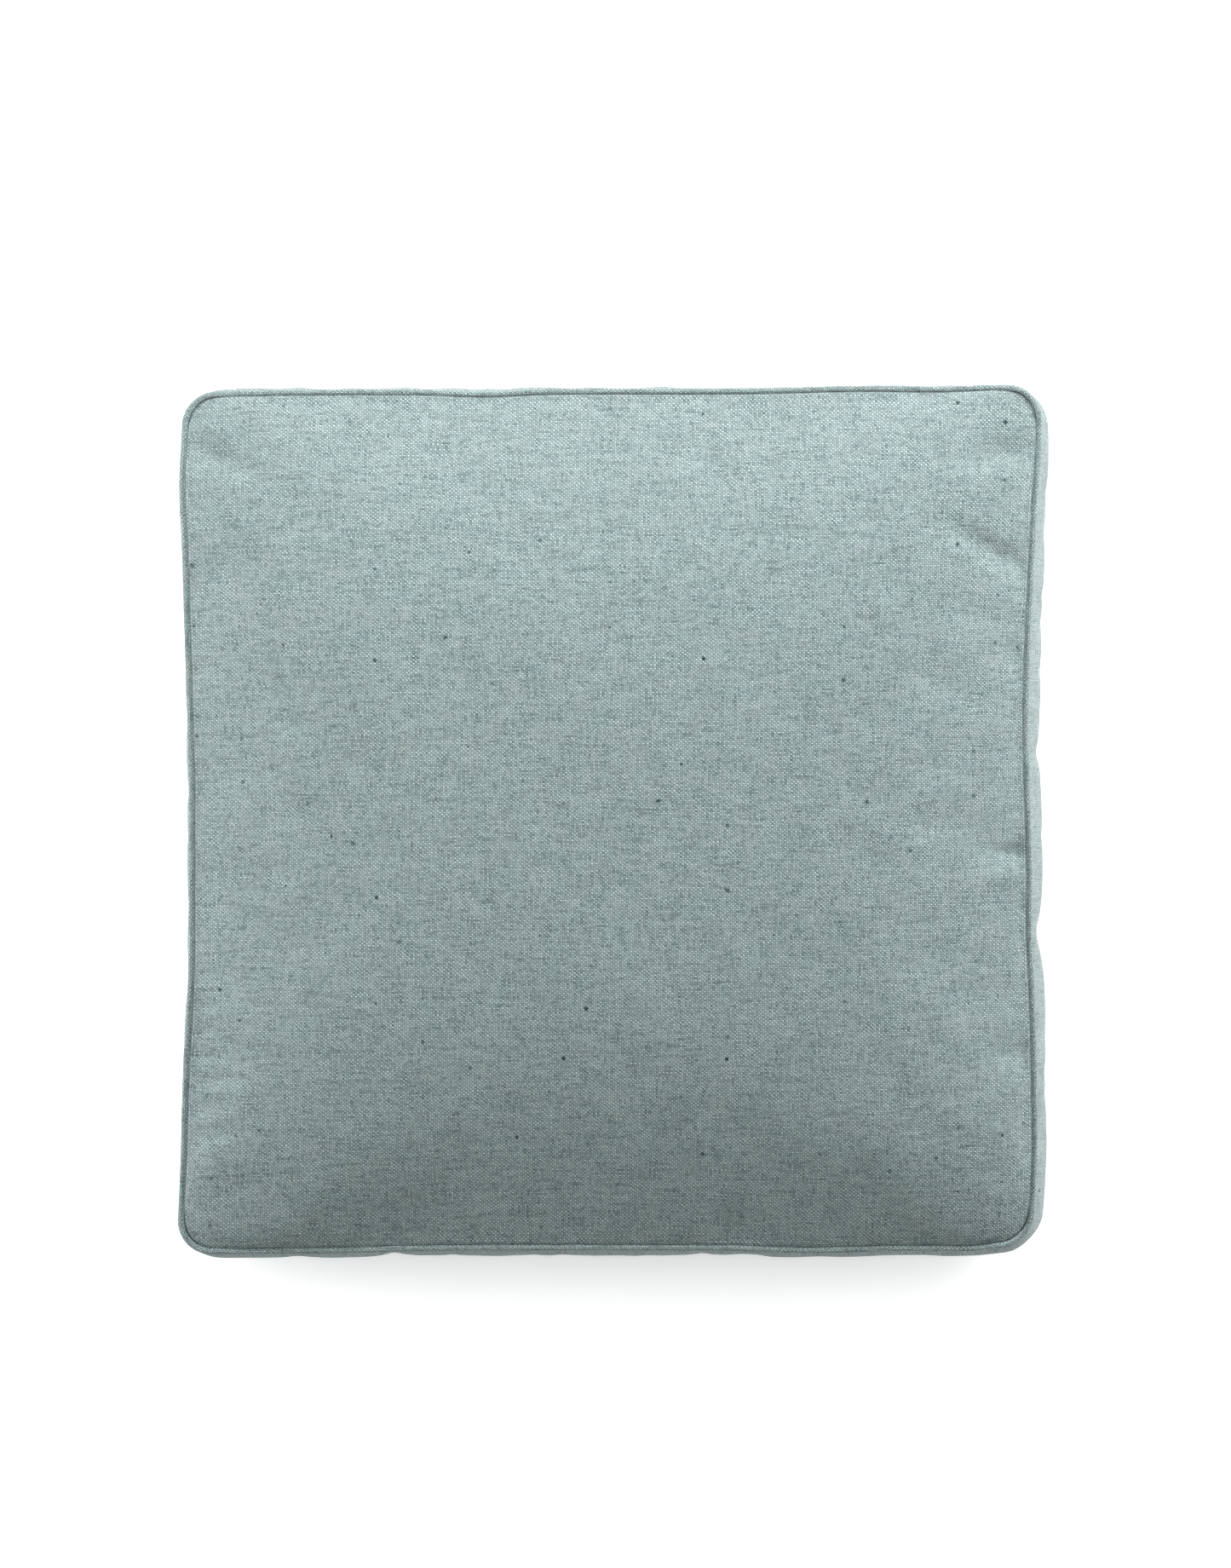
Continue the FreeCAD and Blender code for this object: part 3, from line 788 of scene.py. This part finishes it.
def make_loft(name, sections, closed_ends):
    q = stations(0, 8, 0.012, 0.008)[:-1]
    points = np.concatenate([ring_points(s, q) for s in sections])
    faces = grid_faces(len(sections), len(q), closed=True)
    if "first" in closed_ends:
        faces.append(tuple(range(len(q)))[::-1])
    if "last" in closed_ends:
        last = (len(sections) - 1) * len(q)
        faces.append(tuple(range(last, last + len(q))))
    flat = np.stack([points[:, 0] + points[:, 2], points[:, 1] + points[:, 2]], axis=1)
    return make_object(name, points, faces, flat)


RINGS = (1.0, 0.97, 0.92, 0.85, 0.72, 0.55, 0.35, 0.12)
inner_sides = [side_section(s, CASING_INSET) for s in np.linspace(-1, 1, 9)]
casing = {
    "pad_casing_top": ([crown_section(r, CASING_INSET) for r in RINGS], ["last"]),
    "pad_casing_band": (inner_sides, []),
    "pad_casing_bottom": ([base_section(r, CASING_INSET) for r in RINGS[::-1]], ["first"]),
}
for node, (sections, ends) in casing.items():
    piece = make_loft(node.replace("pad", "inner"), sections, ends)
    thicken(piece, 0.0005)
    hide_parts(node)
    dress(piece, ticking)

fill_sections = [base_section(r, FILL_INSET) for r in RINGS[::-1]]
fill_sections += [side_section(s, FILL_INSET) for s in np.linspace(-0.8, 0.8, 7)]
fill_sections += [crown_section(r, FILL_INSET) for r in RINGS]
wrap = make_loft("wadding_wrap", fill_sections, ["first", "last"])
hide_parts(*["wadding_" + part for part in ("top", "bottom", "left", "right", "front", "back")])
dress(wrap, wadding)
dress(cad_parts["foam_core"], foam)


# ---- zip -----------------------------------------------------------------------------------------


def repeat(points, faces, flat, shifts):
    """Copies of one small mesh, each moved by a shift."""
    count = len(points)
    all_points = (points[None] + np.asarray(shifts)[:, None]).reshape(-1, 3)
    all_faces = [tuple(i + k * count for i in f) for k in range(len(shifts)) for f in faces]
    return all_points, all_faces, np.tile(flat, (len(shifts), 1))


def make_coil(name, side):
    """One row of a coil zip: a bent loop of nylon for each tooth, its head towards the other row."""
    pitch, wire = 0.0015, 0.00034
    turn = np.linspace(0, 2 * math.pi, 17)[:-1]
    ring = np.linspace(0, 2 * math.pi, 7)[:-1]
    low, high = coil_low.y - TAPE_Y, coil_high.y - TAPE_Y
    reach = (coil_high.z - MIDDLE - 0.00025) / 2 - wire
    centre = (coil_high.z - MIDDLE + 0.00025) / 2
    rise = (high - low) / 2 - wire
    across, out = np.cos(turn), np.sin(turn)
    path = np.stack(
        [0.00028 * np.sin(turn), (low + high) / 2 + rise * out, centre - reach * across], axis=1
    )
    normal = np.stack([np.zeros(16), out / rise, -across / reach], axis=1)
    normal /= np.linalg.norm(normal, axis=1, keepdims=True)
    sideways = np.array([1.0, 0, 0])
    points = path[:, None] + wire * (
        normal[:, None] * np.cos(ring)[None, :, None] + sideways * 1.25 * np.sin(ring)[None, :, None]
    )
    points = np.concatenate([points, points[:1]]).reshape(-1, 3)
    faces = grid_faces(17, 6, closed=True)
    points[:, 2] *= side
    if side < 0:
        faces = [f[::-1] for f in faces]
    points += np.array([0, TAPE_Y, MIDDLE])
    count = int((2 * CHAIN_HALF - 0.001) / pitch)
    first = -(count - 1) * pitch / 2 + (pitch / 4) * side
    shifts = [(first + k * pitch, 0, 0) for k in range(count)]
    return make_object(name, *repeat(points, faces, points[:, :2], shifts))


def make_stitches():
    """Two rows of lockstitches, each a short length of thread that dips into the cloth at its ends."""
    pitch, length, thickness = 0.004, 0.0031, 0.00033
    t = np.linspace(-1, 1, 7)
    ring = np.linspace(0, 2 * math.pi, 7)
    run = t[:, None] * length / 2
    radius = thickness * np.sqrt(1.02 - t[:, None] ** 2 * 0.75)
    lift = 0.00012 - 0.00035 * t[:, None] ** 4
    surface = SEAM + zip_side_out(STITCH_ROW)
    points = np.stack(
        np.broadcast_arrays(run, surface + lift + radius * np.cos(ring), radius * np.sin(ring)), axis=2
    ).reshape(-1, 3)
    flat = np.stack(np.broadcast_arrays(run, ring[None] * thickness), axis=2).reshape(-1, 2)
    count = int((stitch_high.x - stitch_low.x) / pitch) + 1
    first = -(count - 1) * pitch / 2
    shifts = [
        (first + k * pitch, 0, MIDDLE + row * STITCH_ROW) for row in (-1, 1) for k in range(count)
    ]
    points, faces, flat = repeat(points, grid_faces(7, 7), flat, shifts)
    return make_object("zip_topstitching", settle(points), faces, flat)


for name, side in (("upper", 1), ("lower", -1)):
    coil = make_coil("zip_teeth_" + name, side)
    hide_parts("zip_coil_" + name)
    dress(coil, nylon)
    dress(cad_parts["zip_tape_" + name], tape_cloth)

stitches = make_stitches()
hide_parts("zip_stitching")
dress(stitches, thread)

for node in ("zip_stops_closed_end", "zip_stop_open_end", "zip_slider", "zip_pull"):
    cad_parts[node].data.materials.clear()
    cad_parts[node].data.materials.append(enamel)


# ---- floor, light and camera ---------------------------------------------------------------------

STAGE = 14.0
floor = make_object("floor", [(-STAGE, -STAGE, 0), (STAGE, -STAGE, 0), (STAGE, STAGE, 0), (-STAGE, STAGE, 0)], [(0, 1, 2, 3)])
floor.data.materials.append(floor_with_painted_shadow())

turn = np.linspace(0, 2 * math.pi, 65)[:-1]
ring = [np.stack([np.cos(turn), np.sin(turn), np.full(64, z)], axis=1) * (STAGE, STAGE, 1) for z in (-0.1, 9)]
wall = make_object("backdrop", np.concatenate(ring), grid_faces(2, 64, closed=True))
wall.data.materials.append(floor_with_painted_shadow())
wall.visible_diffuse = False
wall.visible_glossy = False
wall.visible_shadow = False

world = bpy.data.worlds.new("studio")
world.use_nodes = True
world.node_tree.nodes["Background"].inputs["Color"].default_value = (1.0, 1.0, 1.0, 1.0)
world.node_tree.nodes["Background"].inputs["Strength"].default_value = 0.12
bpy.context.scene.world = world


def add_light(name, place, target, size, watts):
    """A soft rectangular light that the camera doesn't see."""
    light = bpy.data.lights.new(name, "AREA")
    light.shape = "RECTANGLE"
    light.size, light.size_y = size
    light.energy = watts
    obj = bpy.data.objects.new(name, light)
    obj.location = place
    obj.rotation_euler = (Vector(target) - Vector(place)).to_track_quat("-Z", "Y").to_euler()
    obj.visible_camera = False
    bpy.context.scene.collection.objects.link(obj)


middle = (0, 0, 0.1)
add_light("light_back_right", (1.77, 1.77, 0.82), middle, (1.4, 0.7), 53)
add_light("light_back_left", (-1.77, 1.77, 0.82), middle, (1.4, 0.7), 11)
add_light("light_right", (2.56, 0, 0.55), middle, (1.8, 0.7), 8.5)
add_light("light_left", (-2.56, 0, 0.55), middle, (1.8, 0.7), 28)
add_light("light_front", (0, -2.25, 1.4), middle, (2.0, 1.0), 11)
add_light("strip_back", (0, 0.80, 0.85), (0, 0.15, 0.12), (1.0, 0.3), 10)
add_light("strip_right", (0.80, 0.1, 0.50), (0.2, 0, 0.12), (0.8, 0.3), 2.0)
add_light("strip_left", (-0.80, 0.1, 0.50), (-0.2, 0, 0.12), (0.8, 0.3), 3.0)

CAMERA_HEIGHT = 3.6
PICTURE_WIDTH, PICTURE_HEIGHT = 1445, 1840
VIEW_HEIGHT = 1.093  # the height of floor that the picture takes in, at the seam's level

lens = bpy.data.cameras.new("camera")
lens.sensor_width = 36.0
lens.lens = lens.sensor_width * (CAMERA_HEIGHT - UPPER) / VIEW_HEIGHT
camera = bpy.data.objects.new("camera", lens)
camera.location = (0.002, 0.0255, CAMERA_HEIGHT)
bpy.context.scene.collection.objects.link(camera)
bpy.context.scene.camera = camera
bpy.context.scene.view_settings.view_transform = "Standard"
